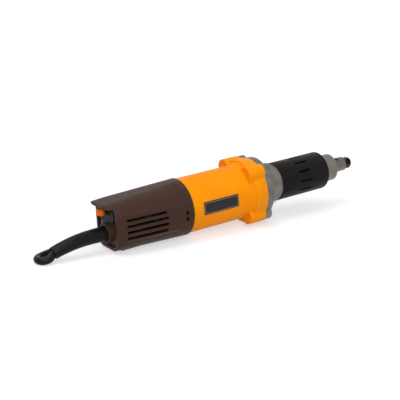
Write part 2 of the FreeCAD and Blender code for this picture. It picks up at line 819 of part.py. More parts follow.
def motor_housing():
    body = new_body("motor_housing")
    turned(body, [
        ("0", "0"),
        ("0", "body_radius - seam_bevel"),
        ("seam_bevel", "body_radius"),
        ("flange_rear - cove_radius", "body_radius"),
        ("flange_rear", "body_radius + cove_radius"),
        ("flange_front", "body_radius + cove_radius"),
        ("flange_front", "0"),
    ])
    flange = new_sketch(body, "YZ_Plane", "flange_rear")
    circle(flange, "0", "0", FLANGE_RADIUS)
    feature(body, "Pad", flange, "flange_front - flange_rear")
    lobes(body, "lobe_rear", "flange_front - lobe_rear", "lobe_radius")
    foot = new_sketch(body, "XZ_Plane")
    box(foot, "flange_front - flange_foot_length", "flange_front", "-flange_foot_drop", "-body_radius + shell_wall")
    feature(body, "Pad", foot, "2 * flange_foot_half_width", both_ways=True)

    # Rounded valleys where the lobes meet the flange
    def along_axis(edge):
        if edge.Curve.TypeId != "Part::GeomLine":
            return False
        way = edge.tangentAt(edge.FirstParameter)
        middle = edge.CenterOfMass
        reach = math.hypot(middle.y, middle.z)
        on_flange = abs(reach - size(FLANGE_RADIUS)) < 0.01
        return abs(way.x) > 0.99 and on_flange and abs(middle.y) > size("flange_foot_half_width") * 1.01
    round_edges(body, "lobe_valley", along_axis)
    bore = new_sketch(body, "YZ_Plane")
    circle(bore, "0", "0", STATOR_RADIUS)
    feature(body, "Pocket", bore, "4 * flange_front", both_ways=True)
    lobe_holes(body, "flange_front - screw_length + casting_flange_thickness", "screw_length", "screw_radius")
    return body


motor_housing()


# Name plate: bare, thin and bent to the housing's side
def name_plate():
    outer = Part.makeCylinder(size("body_radius + label_thickness"), size("label_length"),
                              FreeCAD.Vector(size("label_rear"), 0, 0), FreeCAD.Vector(1, 0, 0))
    inner = Part.makeCylinder(size("body_radius"), size("label_length"),
                              FreeCAD.Vector(size("label_rear"), 0, 0), FreeCAD.Vector(1, 0, 0))
    corner = FreeCAD.Vector(size("label_rear"), -size("2 * body_radius"), size("label_middle - label_height / 2"))
    side = Part.makeBox(size("label_length"), size("2 * body_radius"), size("label_height"), corner)
    return plain_part("name_plate", outer.cut(inner).common(side))


name_plate()


# Neck casting: flange with ears, conical skirt, clamping collar, slotted tube and bearing nose
def neck_casting():
    body = new_body("neck_casting")
    flange = new_sketch(body, "YZ_Plane", "flange_front")
    circle(flange, "0", "0", f"{FLANGE_RADIUS} - casting_inset")
    feature(body, "Pad", flange, "casting_flange_thickness")
    lobes(body, "flange_front", "casting_flange_thickness", "lobe_radius - casting_inset")
    skirt = "(flange_front + casting_flange_thickness)"
    turned(body, [
        ("flange_front", "0"),
        ("flange_front", "body_radius"),
        (skirt, "body_radius"),
        (f"{skirt} + skirt_length", "collar_radius"),
        ("collar_front", "collar_radius"),
        ("collar_front", "tube_radius"),
        ("grip_front", "tube_radius"),
        ("grip_front", "nose_radius"),
        ("nose_front - nose_chamfer", "nose_radius"),
        ("nose_front", "nose_radius - nose_chamfer"),
        ("nose_front", "0"),
    ])
    bore = "tube_radius - tube_wall"
    turned(body, [
        ("flange_front - cut_overrun", "0"),
        ("flange_front - cut_overrun", STATOR_RADIUS),
        (f"flange_front + casting_flange_thickness / 2", STATOR_RADIUS),
        ("middle_bearing_rear - bearing_width / 2", "bearing_outer_radius"),
        ("middle_bearing_rear + bearing_width", "bearing_outer_radius"),
        ("middle_bearing_rear + bearing_width", "bearing_outer_radius - race_thickness"),
        ("middle_bearing_rear + bearing_width + bearing_stop", "bearing_outer_radius - race_thickness"),
        ("middle_bearing_rear + bearing_width + bearing_stop", bore),
        ("front_bearing_rear - bearing_width / 2", bore),
        ("front_bearing_rear - bearing_width / 2", "bearing_outer_radius"),
        (NOSE_SEAT_FRONT, "bearing_outer_radius"),
        (NOSE_SEAT_FRONT, "nose_spindle_radius + nose_spindle_gap"),
        ("nose_front + cut_overrun", "nose_spindle_radius + nose_spindle_gap"),
        ("nose_front + cut_overrun", "0"),
    ], kind="Groove")
    lobe_holes(body, "flange_front - cut_overrun", "casting_flange_thickness + 2 * cut_overrun",
               "screw_radius + screw_clearance")
    lobe_holes(body, skirt, "skirt_length + cut_overrun", "screw_head_radius + screw_clearance")
    window = new_sketch(body, "XY_Plane")
    middle = "collar_front + (grip_front - collar_front) * window_middle_share"
    box(window, f"{middle} - window_length / 2", f"{middle} + window_length / 2",
        "-window_width / 2", "window_width / 2")
    cut = feature(body, "Pocket", window, "2 * grip_radius", backwards=True)
    around(body, cut, "window_count")
    return body


def grip_sleeve():
    body = new_body("grip_sleeve")
    turned(body, [
        ("collar_front", "tube_radius"),
        ("collar_front", "grip_radius"),
        ("grip_front", "grip_radius"),
        ("grip_front", "tube_radius"),
    ])
    round_edges(body, "grip_round", lambda edge: rim_at(edge, "grip_front", "grip_radius"))
    window = new_sketch(body, "XY_Plane")
    middle = "collar_front + (grip_front - collar_front) * window_middle_share"
    box(window, f"{middle} - window_length / 2", f"{middle} + window_length / 2",
        "-window_width / 2", "window_width / 2")
    cut = feature(body, "Pocket", window, "2 * grip_radius", backwards=True)
    around(body, cut, "window_count")
    return body


def housing_screws():
    body = new_body("housing_screws")
    head = "(flange_front + casting_flange_thickness)"
    lobes(body, f"{head} - screw_length", "screw_length", "screw_radius")
    lobes(body, head, "screw_head_height", "screw_head_radius")
    return body


neck_casting()
grip_sleeve()
housing_screws()


# Spindle with wrench flats and a bored, threaded end
def spindle():
    body = new_body("spindle")
    turned(body, [
        ("spindle_rear", "0"),
        ("spindle_rear", "spindle_radius"),
        (NOSE_SEAT_FRONT, "spindle_radius"),
        (NOSE_SEAT_FRONT, "nose_spindle_radius"),
        ("nose_spindle_front", "nose_spindle_radius"),
        ("nose_spindle_front", "thread_radius"),
        (THREAD_FRONT, "thread_radius"),
        (THREAD_FRONT, "0"),
    ])
    bore = "collet_radius + collet_gap"
    taper_rear = "(mouth_front - collet_nose_length)"
    turned(body, [
        (f"{COLLET_REAR} - cut_overrun", "0"),
        (f"{COLLET_REAR} - cut_overrun", bore),
        (taper_rear, bore),
        (f"{THREAD_FRONT} + nut_gap / 2", "collet_nose_radius + collet_gap"),
        (f"{THREAD_FRONT} + nut_gap / 2", "0"),
    ], kind="Groove")
    flats = new_sketch(body, "XZ_Plane")
    for side in ("", "-"):
        low = f"{side}flat_half_width"
        high = f"{side}(nose_spindle_radius + cut_overrun)"
        polygon(flats, [("flat_rear", low), ("flat_rear + flat_length", low),
                        ("flat_rear + flat_length", high), ("flat_rear", high)])
    feature(body, "Pocket", flats, "4 * nose_spindle_radius", both_ways=True)
    return body


def collet():
    body = new_body("collet")
    taper_rear = "(mouth_front - collet_nose_length)"
    turned(body, [
        (COLLET_REAR, "collet_bore_radius"),
        (COLLET_REAR, "collet_radius"),
        (taper_rear, "collet_radius"),
        (f"{THREAD_FRONT} + nut_gap / 2", "collet_nose_radius"),
        ("mouth_front", "collet_radius"),
        ("mouth_front", "collet_bore_radius"),
    ])
    slot = new_sketch(body, "XY_Plane")
    box(slot, "mouth_front - collet_slot_length", "mouth_front + cut_overrun",
        "-collet_slot / 2", "collet_slot / 2")
    cut = feature(body, "Pocket", slot, "2 * collet_radius", backwards=True)
    four_around(body, cut)
    return body


def collet_nut():
    body = new_body("collet_nut")
    rear = "(nose_spindle_front + nut_gap)"
    hexagon = new_sketch(body, "YZ_Plane", rear)
    corners = []
    for index in range(6):
        reach = "nut_flats / 2 / cos(30)"
        corners.append((f"{reach} * cos({60 * index})", f"{reach} * sin({60 * index})"))
    polygon(hexagon, corners)
    feature(body, "Pad", hexagon, f"mouth_front - {rear}")
    trim = [
        ("mouth_front + cut_overrun", "nut_flats / 2 - nut_chamfer"),
        ("mouth_front", "nut_flats / 2 - nut_chamfer / 2"),
        ("mouth_front - nut_chamfer * 2", "nut_flats / 2 + nut_chamfer * 1.2"),
        ("mouth_front - nut_chamfer * 2", "nut_flats"),
        ("mouth_front + cut_overrun", "nut_flats"),
    ]
    turned(body, trim, kind="Groove")
    turned(body, [
        (f"{rear} - cut_overrun", "0"),
        (f"{rear} - cut_overrun", "thread_radius + collet_gap"),
        (f"{THREAD_FRONT} + nut_gap", "thread_radius + collet_gap"),
        ("mouth_front", "nut_mouth_radius"),
        ("mouth_front + cut_overrun", "nut_mouth_radius"),
        ("mouth_front + cut_overrun", "0"),
    ], kind="Groove")
    return body


spindle()
collet()
collet_nut()


# Ball bearings: outer race in the housing, inner race on the shaft, balls between

def bearing(name, rear, width, outer, shaft, race, ball):
    ring(f"{name}_outer_race", rear, f"{rear} + {width}", outer, f"{outer} - {race}")
    ring(f"{name}_inner_race", rear, f"{rear} + {width}", f"{shaft} + {race}", shaft)
    gap = size(f"{outer} - {race} - {shaft} - {race}")
    middle = size(f"({outer} + {shaft}) / 2")
    ball_size = min(size(ball), gap / 2 - size("ball_gap"))
    count = int(size("ball_count"))
    balls = []
    for index in range(count):
        turn = 2 * math.pi * index / count
        centre = FreeCAD.Vector(size(f"{rear} + {width} / 2"), middle * math.cos(turn), middle * math.sin(turn))
        balls.append(Part.makeSphere(ball_size, centre))
    plain_part(f"{name}_balls", Part.makeCompound(balls))


bearing("front_bearing", "front_bearing_rear", "bearing_width", "bearing_outer_radius",
        "spindle_radius", "race_thickness", "ball_radius")
bearing("middle_bearing", "middle_bearing_rear", "bearing_width", "bearing_outer_radius",
        "spindle_radius", "race_thickness", "ball_radius")
bearing("tail_bearing", "(-tail_bearing_front - tail_bearing_width)", "tail_bearing_width",
        "tail_bearing_outer_radius", "shaft_radius", "tail_race_thickness", "tail_ball_radius")


# Motor: shaft, core, windings, commutator, fan and the fixed field round them

ring_shaft = new_body("armature_shaft")
turned(ring_shaft, [("-shaft_rear", "0"), ("-shaft_rear", "shaft_radius"),
                    ("spindle_rear", "shaft_radius"), ("spindle_rear", "0")])

coupling = new_body("coupling")
turned(coupling, [
    ("coupling_rear", "shaft_radius"),
    ("coupling_rear", "coupling_radius"),
    ("coupling_rear + coupling_length", "coupling_radius"),
    ("coupling_rear + coupling_length", "spindle_radius"),
    ("spindle_rear", "spindle_radius"),
    ("spindle_rear", "shaft_radius"),
])


def armature_core():
    body = ring("armature_core", "core_rear", CORE_FRONT, CORE_RADIUS, "shaft_radius")
    slot = new_sketch(body, "YZ_Plane", "core_rear")
    box(slot, f"{CORE_RADIUS} - core_slot_depth", f"{CORE_RADIUS} + cut_overrun",
        "-core_slot_width / 2", "core_slot_width / 2")
    cut = feature(body, "Pocket", slot, "4 * core_length", both_ways=True)
    around(body, cut, "core_slot_count")
    return body


def field_coils():
    body = new_body("field_coils")
    for rear, front in (("core_rear - field_reach", "core_rear"), (CORE_FRONT, f"{CORE_FRONT} + field_reach")):
        turned(body, [(rear, f"{CORE_RADIUS} + air_gap"), (rear, f"{STATOR_RADIUS} - field_inset"),
                      (front, f"{STATOR_RADIUS} - field_inset"), (front, f"{CORE_RADIUS} + air_gap")])
    return body


def armature_windings():
    body = new_body("armature_windings")
    for rear, front in (("core_rear - winding_reach", "core_rear"), (CORE_FRONT, f"{CORE_FRONT} + winding_reach")):
        turned(body, [(rear, "winding_inner_radius"), (rear, f"{CORE_RADIUS} - winding_inset"),
                      (front, f"{CORE_RADIUS} - winding_inset"), (front, "winding_inner_radius")])
    return body


def fan():
    body = ring("fan", "fan_rear", "fan_rear + fan_plate", FAN_RADIUS, "shaft_radius")
    turned(body, [("fan_rear", "shaft_radius"), ("fan_rear", "fan_hub_radius"),
                  ("fan_rear + fan_width", "fan_hub_radius"), ("fan_rear + fan_width", "shaft_radius")])
    blade = new_sketch(body, "YZ_Plane", "fan_rear")
    box(blade, "fan_hub_radius - fan_blade", f"{FAN_RADIUS} - fan_blade", "-fan_blade / 2", "fan_blade / 2")
    around(body, feature(body, "Pad", blade, "fan_width"), "fan_count")
    return body


armature_core()
armature_windings()
ring("stator_core", "core_rear", CORE_FRONT, STATOR_RADIUS, f"{CORE_RADIUS} + air_gap")
field_coils()
ring("commutator", "-commutator_front - commutator_length", "-commutator_front",
     "commutator_radius", "shaft_radius")
fan()
ring("fan_baffle", "baffle_rear", "baffle_rear + baffle_thickness", STATOR_RADIUS, f"{FAN_RADIUS} - baffle_lap")

BRUSH_STATION = "(-commutator_front - commutator_length / 2)"


def brushes():
    """Carbon brushes on both sides of the commutator, each in a brass tube."""
    start = size("commutator_radius + brush_gap")
    middle = size(BRUSH_STATION)
    thick, wide, long = size("brush_thickness"), size("brush_width"), size("brush_length")
    wall = size("holder_wall")
    tube = size(f"{side_inside(BRUSH_STATION)} - holder_gap") - start - wall
    carbons = []
    holders = []
    for side in (-1, 1):
        low = start if side > 0 else -start - long
        carbons.append(Part.makeBox(thick, long, wide, FreeCAD.Vector(middle - thick / 2, low, -wide / 2)))
        inner_start = start + wall
        low = inner_start if side > 0 else -inner_start - tube
        outer = Part.makeBox(thick + 2 * wall, tube, wide + 2 * wall,
                             FreeCAD.Vector(middle - thick / 2 - wall, low, -wide / 2 - wall))
        hollow = Part.makeBox(thick, tube, wide, FreeCAD.Vector(middle - thick / 2, low, -wide / 2))
        holders.append(outer.cut(hollow))
    plain_part("carbon_brushes", Part.makeCompound(carbons))
    plain_part("brush_holders", Part.makeCompound(holders))


brushes()


def bearing_carrier():
    """A ring round the tail bearing on four arms that reach the shell, with brush posts."""
    body = new_body("bearing_carrier")
    rear = "(-tail_bearing_front - tail_bearing_width)"
    turned(body, [(rear, "0"), (rear, "tail_bearing_outer_radius + carrier_wall"),
                  ("-tail_bearing_front", "tail_bearing_outer_radius + carrier_wall"), ("-tail_bearing_front", "0")])
    reach = f"{side_inside(rear)} - carrier_gap"
    arm = new_sketch(body, "YZ_Plane", rear)
    box(arm, f"-({reach})", reach, "-carrier_arm_width / 2", "carrier_arm_width / 2")
    feature(body, "Pad", arm, "tail_bearing_width")
    seat = new_sketch(body, "YZ_Plane", rear)
    circle(seat, "0", "0", "tail_bearing_outer_radius")
    feature(body, "Pocket", seat, "4 * tail_bearing_width", both_ways=True)
    return body


bearing_carrier()


# Boot: a tapered rubber sleeve that leaves the gland level and bends down towards the floor

def boot_path():
    """Places and headings along the boot's middle line: a straight, then an arc down and to the left."""
    start = FreeCAD.Vector(size(f"{CAP_REAR} - gland_reach"), 0, -size("gland_drop"))
    knee = start - FreeCAD.Vector(size("boot_straight"), 0, 0)
    bend = size("boot_bend_radius")
    lean = math.radians(size("boot_lean_angle"))
    back = FreeCAD.Vector(-1, 0, 0)
    aside = FreeCAD.Vector(0, math.sin(lean), -math.cos(lean))
    places = [(start, back), (knee, back)]
    steps = 4
    for step in range(1, steps + 1):
        angle = math.radians(size("boot_bend_angle")) * step / steps
        place = knee + back * (bend * math.sin(angle)) + aside * (bend * (1 - math.cos(angle)))
        places.append((place, back * math.cos(angle) + aside * math.sin(angle)))
    return places


def cord_boot():
    places = boot_path()
    rings = []
    for index, (place, way) in enumerate(places):
        share = index / (len(places) - 1)
        radius = size("boot_root_radius") * (1 - share) + size("boot_tip_radius") * share
        rings.append(Part.Wire([Part.makeCircle(radius, place, way)]))
    shape = Part.makeLoft(rings, True, False)
    inside = size(f"{CAP_REAR} + cap_thickness")
    length = inside - places[0][0].x
    root = Part.makeCylinder(size("boot_root_radius"), length, places[0][0], FreeCAD.Vector(1, 0, 0))
    head_place = FreeCAD.Vector(inside, 0, -size("gland_drop"))
    head = Part.makeCylinder(size("boot_head_radius"), size("boot_head_length"), head_place,
                             FreeCAD.Vector(1, 0, 0))
    return plain_part("cord_boot", shape.fuse(root).fuse(head).removeSplitter())


cord_boot()


# Cord: down from the boot, folded back on the floor behind the tool, coiled there and led to the plug.
# Its route is in the resting frame, where X and Y are along the floor.

CORD_RADIUS = size("cord_diameter / 2")
FLOOR_LINE = FLOOR + CORD_RADIUS
COIL_CENTRE = FreeCAD.Vector(-115, 85, 0)
CLIMB_SHARE = 0.5
ARC_SHARE = 0.45
RUN_ROUTE = [
    (-420.9, 12.3), (-416.5, 21.8), (-400.7, 24.6), (-379.0, 30.5), (-353.0, 38.5),
    (-325.0, 43.0), (-294.0, 45.5), (-262.0, 45.0), (-230.0, 43.5), (-199.0, 41.0), (-170.0, 36.5),
]
COIL_LEAD = 22.0
TAIL_ROUTE = [(-190.0, 86.5, 11.0), (-211.0, 82.0, 9.0)]
PLUG_START = FreeCAD.Vector(-224.0, 82.0, FLOOR + size("plug_thickness / 2"))


def tube(label, places):
    """A round tube along straight runs that are joined by the largest tangent arcs they allow."""
    edges = []
    length = 0.0
    here = places[0]
    for before, corner, after in zip(places, places[1:], places[2:]):
        back, ahead = before - corner, after - corner
        shorter = min(back.Length, ahead.Length)
        back.normalize()
        ahead.normalize()
        half_turn = (math.pi - back.getAngle(ahead)) / 2
        reach = ARC_SHARE * shorter
        radius = reach / math.tan(half_turn)
        print(f"{label} arc radius {radius:.1f}, turn {math.degrees(2 * half_turn):.0f}")
        start, end = corner + back * reach, corner + ahead * reach
        inward = back + ahead
        inward.normalize()
        middle = corner + inward * (radius / math.cos(half_turn) - radius)
        edges.append(Part.LineSegment(here, start).toShape())
        edges.append(Part.Arc(start, middle, end).toShape())
        length += (start - here).Length + radius * 2 * half_turn
        here = end
    edges.append(Part.LineSegment(here, places[-1]).toShape())
    length += (places[-1] - here).Length
    return swept(label, edges, places[0], places[1] - places[0], length)


def swept(label, edges, start, way, length):
    """A round solid along joined edges, its volume compared with section times length."""
    path = Part.Wire(edges)
    section = Part.Wire([Part.makeCircle(CORD_RADIUS, start, way)])
    solid = path.makePipeShell([section], True, False)
    expected = math.pi * CORD_RADIUS ** 2 * length
    print(f"{label} length {length:.1f}, volume {solid.Volume:.1f}, section times length {expected:.1f}")
    item = plain_part(label, solid)
    return item, length


def coil_place(turns):
    """The coil's middle line and its heading, turns counted from its start nearest the tool."""
    turns_in = size("coil_turns_in")
    climb = CLIMB_SHARE
    pitch = size("coil_pitch")
    angle = 2 * math.pi * (turns - 0.25)
    inner = size("coil_outer_radius") - pitch * turns_in
    if turns <= turns_in:
        radius, slope, height, rise = size("coil_outer_radius") - pitch * turns, -pitch, 0.0, 0.0
    elif turns < turns_in + climb:
        share = (turns - turns_in) / climb
        radius, slope = inner - pitch * climb * share * (1 - share), -pitch * (1 - 2 * share)
        height = pitch * (1 - math.cos(math.pi * share)) / 2
        rise = pitch * math.pi * math.sin(math.pi * share) / 2 / climb
    else:
        radius, slope = inner + pitch * (turns - turns_in - climb), pitch
        height, rise = pitch, 0.0
    outward = FreeCAD.Vector(math.cos(angle), math.sin(angle), 0)
    along = FreeCAD.Vector(-math.sin(angle), math.cos(angle), 0)
    place = COIL_CENTRE + outward * radius + FreeCAD.Vector(0, 0, FLOOR_LINE + height)
    heading = along * (2 * math.pi * radius) + outward * slope + FreeCAD.Vector(0, 0, rise)
    return place, heading.normalize()


def biarc(start, start_way, end, end_way):
    """Two arcs that leave start and reach end along the two headings, and their length."""
    gap = end - start
    sweep = start_way + end_way
    bend = 2 * (1 - start_way.dot(end_way))
    lean = gap.dot(sweep)
    reach = (math.sqrt(lean ** 2 + bend * gap.dot(gap)) - lean) / bend
    first, second = start + start_way * reach, end - end_way * reach
    joint = (first + second) / 2
    edges = []
    length = 0.0
    for near_end, corner, far_end in ((start, first, joint), (joint, second, end)):
        back, ahead = near_end - corner, far_end - corner
        half_turn = (math.pi - back.getAngle(ahead)) / 2
        radius = back.Length / math.tan(half_turn)
        inward = (back + ahead).normalize()
        middle = corner + inward * (radius / math.cos(half_turn) - radius)
        edges.append(Part.Arc(near_end, middle, far_end).toShape())
        length += radius * 2 * half_turn
    return edges, length


def cord_coil():
    """Loops that spiral in on the floor, climb a layer and spiral out again on top."""
    quarter = 0.25
    total = size("coil_turns_in + coil_turns_out") + CLIMB_SHARE
    stops = [index * quarter for index in range(int(total / quarter) + 1)]
    if total - stops[-1] > 0.01:
        stops.append(total)
    places = [coil_place(stop) for stop in stops]
    first, first_way = places[0]
    last, last_way = places[-1]
    lead = size("cord_diameter")
    start, end = first - first_way * lead, last + last_way * lead
    edges = [Part.LineSegment(start, first).toShape()]
    length = 2 * lead
    for (here, here_way), (there, there_way) in zip(places, places[1:]):
        arcs, added = biarc(here, here_way, there, there_way)
        edges += arcs
        length += added
    edges.append(Part.LineSegment(last, end).toShape())
    samples = [point for edge in edges for point in edge.discretize(Distance=CORD_RADIUS / 2)]
    apart = 6 * CORD_RADIUS
    along = [0.0]
    for before, after in zip(samples, samples[1:]):
        along.append(along[-1] + (after - before).Length)
    least = min((samples[a] - samples[b]).Length for a in range(len(samples)) for b in range(a)
                if along[a] - along[b] > apart)
    print(f"cord_coil least gap to itself {least - 2 * CORD_RADIUS:.2f}")
    swept("cord_coil", edges, start, first_way, length)
    return start, first_way, end, last_way, length


coil_start, start_way, coil_end, end_way, coil_length = cord_coil()
boot_tip, boot_way = boot_path()[-1]
boot_tip, boot_way = RESTING.multVec(boot_tip), RESTING.Rotation.multVec(boot_way)
landing = boot_tip + boot_way * ((FLOOR_LINE - boot_tip.z) / boot_way.z)
run_places = [boot_tip, landing]
run_places += [FreeCAD.Vector(across, along, FLOOR_LINE) for across, along in RUN_ROUTE]
run_places += [coil_start - start_way * COIL_LEAD, coil_start]
cord_run, run_length = tube("cord_run", run_places)
tail_places = [coil_end, coil_end + end_way * COIL_LEAD]
tail_places += [FreeCAD.Vector(x, y, FLOOR + height) for x, y, height in TAIL_ROUTE]
tail_places.append(PLUG_START)
cord_tail, tail_length = tube("cord_tail", tail_places)
print(f"cord length {run_length + coil_length + tail_length:.1f}")
print("boot tip", [round(value, 1) for value in boot_tip], "heading", [round(value, 3) for value in boot_way])


# Plug: drawn along its own X, from the cord to the prongs
def plug():
    body = new_body("plug_body")
    turned(body, [("0", "0"), ("0", "plug_neck_radius"),
                  ("plug_neck_length", "plug_thickness / 2 - plug_round / 2"), ("plug_neck_length", "0")])
    block = new_sketch(body, "YZ_Plane", "plug_neck_length")
    rounded_box(block, "plug_width / 2", "plug_thickness / 2", "plug_round")
    feature(body, "Pad", block, "plug_length")
    prongs = new_body("plug_pins")
    pair = new_sketch(prongs, "YZ_Plane", "plug_neck_length + plug_length")
    circle(pair, "prong_half_spacing", "0", "prong_radius")
    circle(pair, "-prong_half_spacing", "0", "prong_radius")
    feature(prongs, "Pad", pair, "prong_length")
    return body, prongs


plug_pieces = plug()
ON_CORD = FreeCAD.Placement(PLUG_START, FreeCAD.Rotation(FreeCAD.Vector(0, 0, 1), 180))
doc.recompute()

for item in parts:
    rest = RESTING
    if item.Label in ("cord_run", "cord_coil", "cord_tail"):
        continue
    if item in plug_pieces:
        rest = ON_CORD
    if item.Label in ("switch_lever", "lever_knob"):
        axis_point = FreeCAD.Vector(size(PIN_STATION), 0, 0)
        swing = FreeCAD.Rotation(FreeCAD.Vector(0, 0, 1), -size("lever_rest_angle"))
        turned_off = FreeCAD.Placement(axis_point - swing.multVec(axis_point), swing)
        rest = RESTING.multiply(turned_off)
    item.Placement = rest
doc.recompute()

for item in doc.Objects:
    if "Invalid" in item.State or "Error" in item.State:
        raise RuntimeError(f"{item.Label} failed: {item.State}")
for item in parts:
    if item.Shape.isNull() or not item.Shape.isValid():
        raise RuntimeError(f"{item.Label} has no valid shape")

os.makedirs("parts", exist_ok=True)
for item in parts:
    item.Shape.exportStep(f"parts/{item.Label}.step")
    box_size = item.Shape.BoundBox
    print(f"{item.Label:24s} solids {len(item.Shape.Solids)} volume {item.Shape.Volume:10.1f}"
          f" x {box_size.XMin:7.1f} {box_size.XMax:7.1f} z {box_size.ZMin:6.1f} {box_size.ZMax:6.1f}")
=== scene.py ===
import json
import math

import bmesh
import bpy
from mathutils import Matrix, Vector


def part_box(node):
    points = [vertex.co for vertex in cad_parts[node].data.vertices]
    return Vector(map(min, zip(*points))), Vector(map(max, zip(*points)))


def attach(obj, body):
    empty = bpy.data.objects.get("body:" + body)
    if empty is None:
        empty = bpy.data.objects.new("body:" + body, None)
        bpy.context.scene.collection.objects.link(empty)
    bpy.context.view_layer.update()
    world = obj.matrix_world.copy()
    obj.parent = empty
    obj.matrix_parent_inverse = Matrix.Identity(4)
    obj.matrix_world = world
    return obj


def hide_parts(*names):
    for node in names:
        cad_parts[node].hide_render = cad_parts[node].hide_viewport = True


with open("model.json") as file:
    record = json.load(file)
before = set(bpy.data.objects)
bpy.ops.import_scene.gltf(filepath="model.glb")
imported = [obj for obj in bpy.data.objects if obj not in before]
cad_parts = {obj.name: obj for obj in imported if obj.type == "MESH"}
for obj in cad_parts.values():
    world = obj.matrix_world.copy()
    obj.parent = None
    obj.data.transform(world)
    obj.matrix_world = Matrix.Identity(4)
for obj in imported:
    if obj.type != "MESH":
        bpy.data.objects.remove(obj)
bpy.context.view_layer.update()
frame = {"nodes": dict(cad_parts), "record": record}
NODES = frame["nodes"]

# Lengths are in metres. The tool lies nose up on its two feet, so its spindle axis rises by TILT
TILT = math.radians(3.125)
ALONG_AXIS = (0, TILT, 0)
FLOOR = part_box("motor_housing")[0][2]

# Camera at the photograph's place: turned from the Y axis, looking down, with a long lens
CAMERA_PLACE = (-0.8809, -0.9674, 0.3476)
CAMERA_TURN = math.radians(34.4)
CAMERA_DROP = math.radians(17.0)
LENS_MILLIMETRES = 99.0
SENSOR_MILLIMETRES = 36.0
CLIP_NEAR, CLIP_FAR = 0.05, 60.0

# Cord: its coil is wound inward on the floor, climbs one layer and is wound outward again
CORD_DIAMETER = 0.008
COIL_CENTRE = Vector((-0.115, 0.085, 0))
COIL_OUTER_RADIUS = 0.055
COIL_PITCH = 0.0087
TURNS_IN, TURNS_CLIMBING, TURNS_OUT = 3.5, 0.5, 2.625
POINTS_PER_TURN = 16

# Name plate: its middle behind the collet's mouth and above the axis, its half size and its edge line
PLATE_ALONG, PLATE_UP = -0.211, 0.0018
PLATE_HALF_LENGTH, PLATE_HALF_HEIGHT = 0.023, 0.0072
PLATE_LINE_INSETS = (0.0010, 0.0016)
PLATE_LINE_COLOUR = (0.22, 0.20, 0.18)

# Painted highlight along edges: how far from an edge it reaches, and the likeness of plain and
# rounded normals, from no highlight to the full painted highlight. Painted shade in creases sits
# where the pointiness falls from the first value to the second
EDGE_REACH = 0.0007
EDGE_SAMPLES = 4
NO_HIGHLIGHT_LIKENESS, FULL_HIGHLIGHT_LIKENESS = 0.998, 0.93
UNSHADED_POINTINESS, SHADED_POINTINESS = 0.48, 0.42
CREASE_SHADE_SHARE = 0.8


def make_camera():
    data = bpy.data.cameras.new("Camera")
    data.lens = LENS_MILLIMETRES
    data.sensor_width = SENSOR_MILLIMETRES
    data.clip_start = CLIP_NEAR
    data.clip_end = CLIP_FAR
    camera = bpy.data.objects.new("Camera", data)
    level = math.cos(CAMERA_DROP)
    forward = Vector((math.sin(CAMERA_TURN) * level, math.cos(CAMERA_TURN) * level,
                      -math.sin(CAMERA_DROP)))
    camera.location = CAMERA_PLACE
    camera.rotation_mode = "QUATERNION"
    camera.rotation_quaternion = forward.to_track_quat("-Z", "Y")
    bpy.context.scene.collection.objects.link(camera)
    bpy.context.scene.camera = camera


make_camera()


def coil_points(level):
    """Control points of the coil, from where the cord reaches it to where it leaves the top layer."""
    inner = COIL_OUTER_RADIUS - COIL_PITCH * TURNS_IN
    points = []
    for step in range(int((TURNS_IN + TURNS_CLIMBING + TURNS_OUT) * POINTS_PER_TURN) + 1):
        turns = step / POINTS_PER_TURN
        angle = 2 * math.pi * (turns - 0.25)
        height = 0.0
        if turns <= TURNS_IN:
            radius = COIL_OUTER_RADIUS - COIL_PITCH * turns
        elif turns < TURNS_IN + TURNS_CLIMBING:
            share = (turns - TURNS_IN) / TURNS_CLIMBING
            radius = inner - COIL_PITCH * TURNS_CLIMBING * share * (1 - share)
            height = COIL_PITCH * (1 - math.cos(math.pi * share)) / 2
        else:
            radius = inner + COIL_PITCH * (turns - TURNS_IN - TURNS_CLIMBING)
            height = COIL_PITCH
        # Control points lie a little outside the turn that the curve then takes
        radius /= math.cos(math.pi / POINTS_PER_TURN) ** 0.5
        place = COIL_CENTRE + Vector((math.cos(angle), math.sin(angle), 0)) * radius
        points.append((place.x, place.y, level + height))
    return points


def cord_points():
    """Control points of the whole cord, along the same route as the solids."""
    level = FLOOR + CORD_DIAMETER / 2
    fold = [
        (-0.3980, 0.0015, -0.0364), (-0.4020, 0.0007, -0.0385), (-0.4071, -0.0027, level + 0.0017),
        (-0.4133, -0.0014, level + 0.0002), (-0.4172, 0.0043, level), (-0.4154, 0.0124, level),
        (-0.4063, 0.0172, level), (-0.3920, 0.0222, level),
    ]
    behind_tool = [
        (-0.3755, 0.0288, level), (-0.3530, 0.0385, level), (-0.3250, 0.0430, level),
        (-0.2940, 0.0455, level), (-0.2620, 0.0450, level), (-0.2300, 0.0435, level),
        (-0.1990, 0.0410, level), (-0.1700, 0.0365, level), (-0.1370, 0.0295, level),
    ]
    to_plug = [
        (-0.1704, 0.0978, FLOOR + 0.0125), (-0.190, 0.0865, FLOOR + 0.011),
        (-0.211, 0.082, FLOOR + 0.009), (-0.2252, 0.082, FLOOR + 0.009),
    ]
    return fold + behind_tool + coil_points(level) + to_plug


def make_cord():
    data = bpy.data.curves.new("mains_cord", "CURVE")
    data.dimensions = "3D"
    # The tube's radius is this depth times each point's own radius
    data.bevel_depth = 1.0
    data.bevel_resolution = 5
    data.resolution_u = 6
    data.use_fill_caps = True
    spline = data.splines.new("NURBS")
    points = cord_points()
    spline.points.add(len(points) - 1)
    for point, place in zip(spline.points, points):
        point.co = (*place, 1)
        point.radius = CORD_DIAMETER / 2
    spline.order_u = 3
    spline.use_endpoint_u = True
    cord = bpy.data.objects.new("mains_cord", data)
    bpy.context.scene.collection.objects.link(cord)
    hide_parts("cord_run", "cord_coil", "cord_tail")
    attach(cord, "housing")
    return cord


cord = make_cord()


def scaled(colour, factor, lift=0.0):
    """A colour made lighter or darker by a factor, then lifted, and kept within white."""
    return tuple(min(1.0, part * factor + lift) for part in colour)


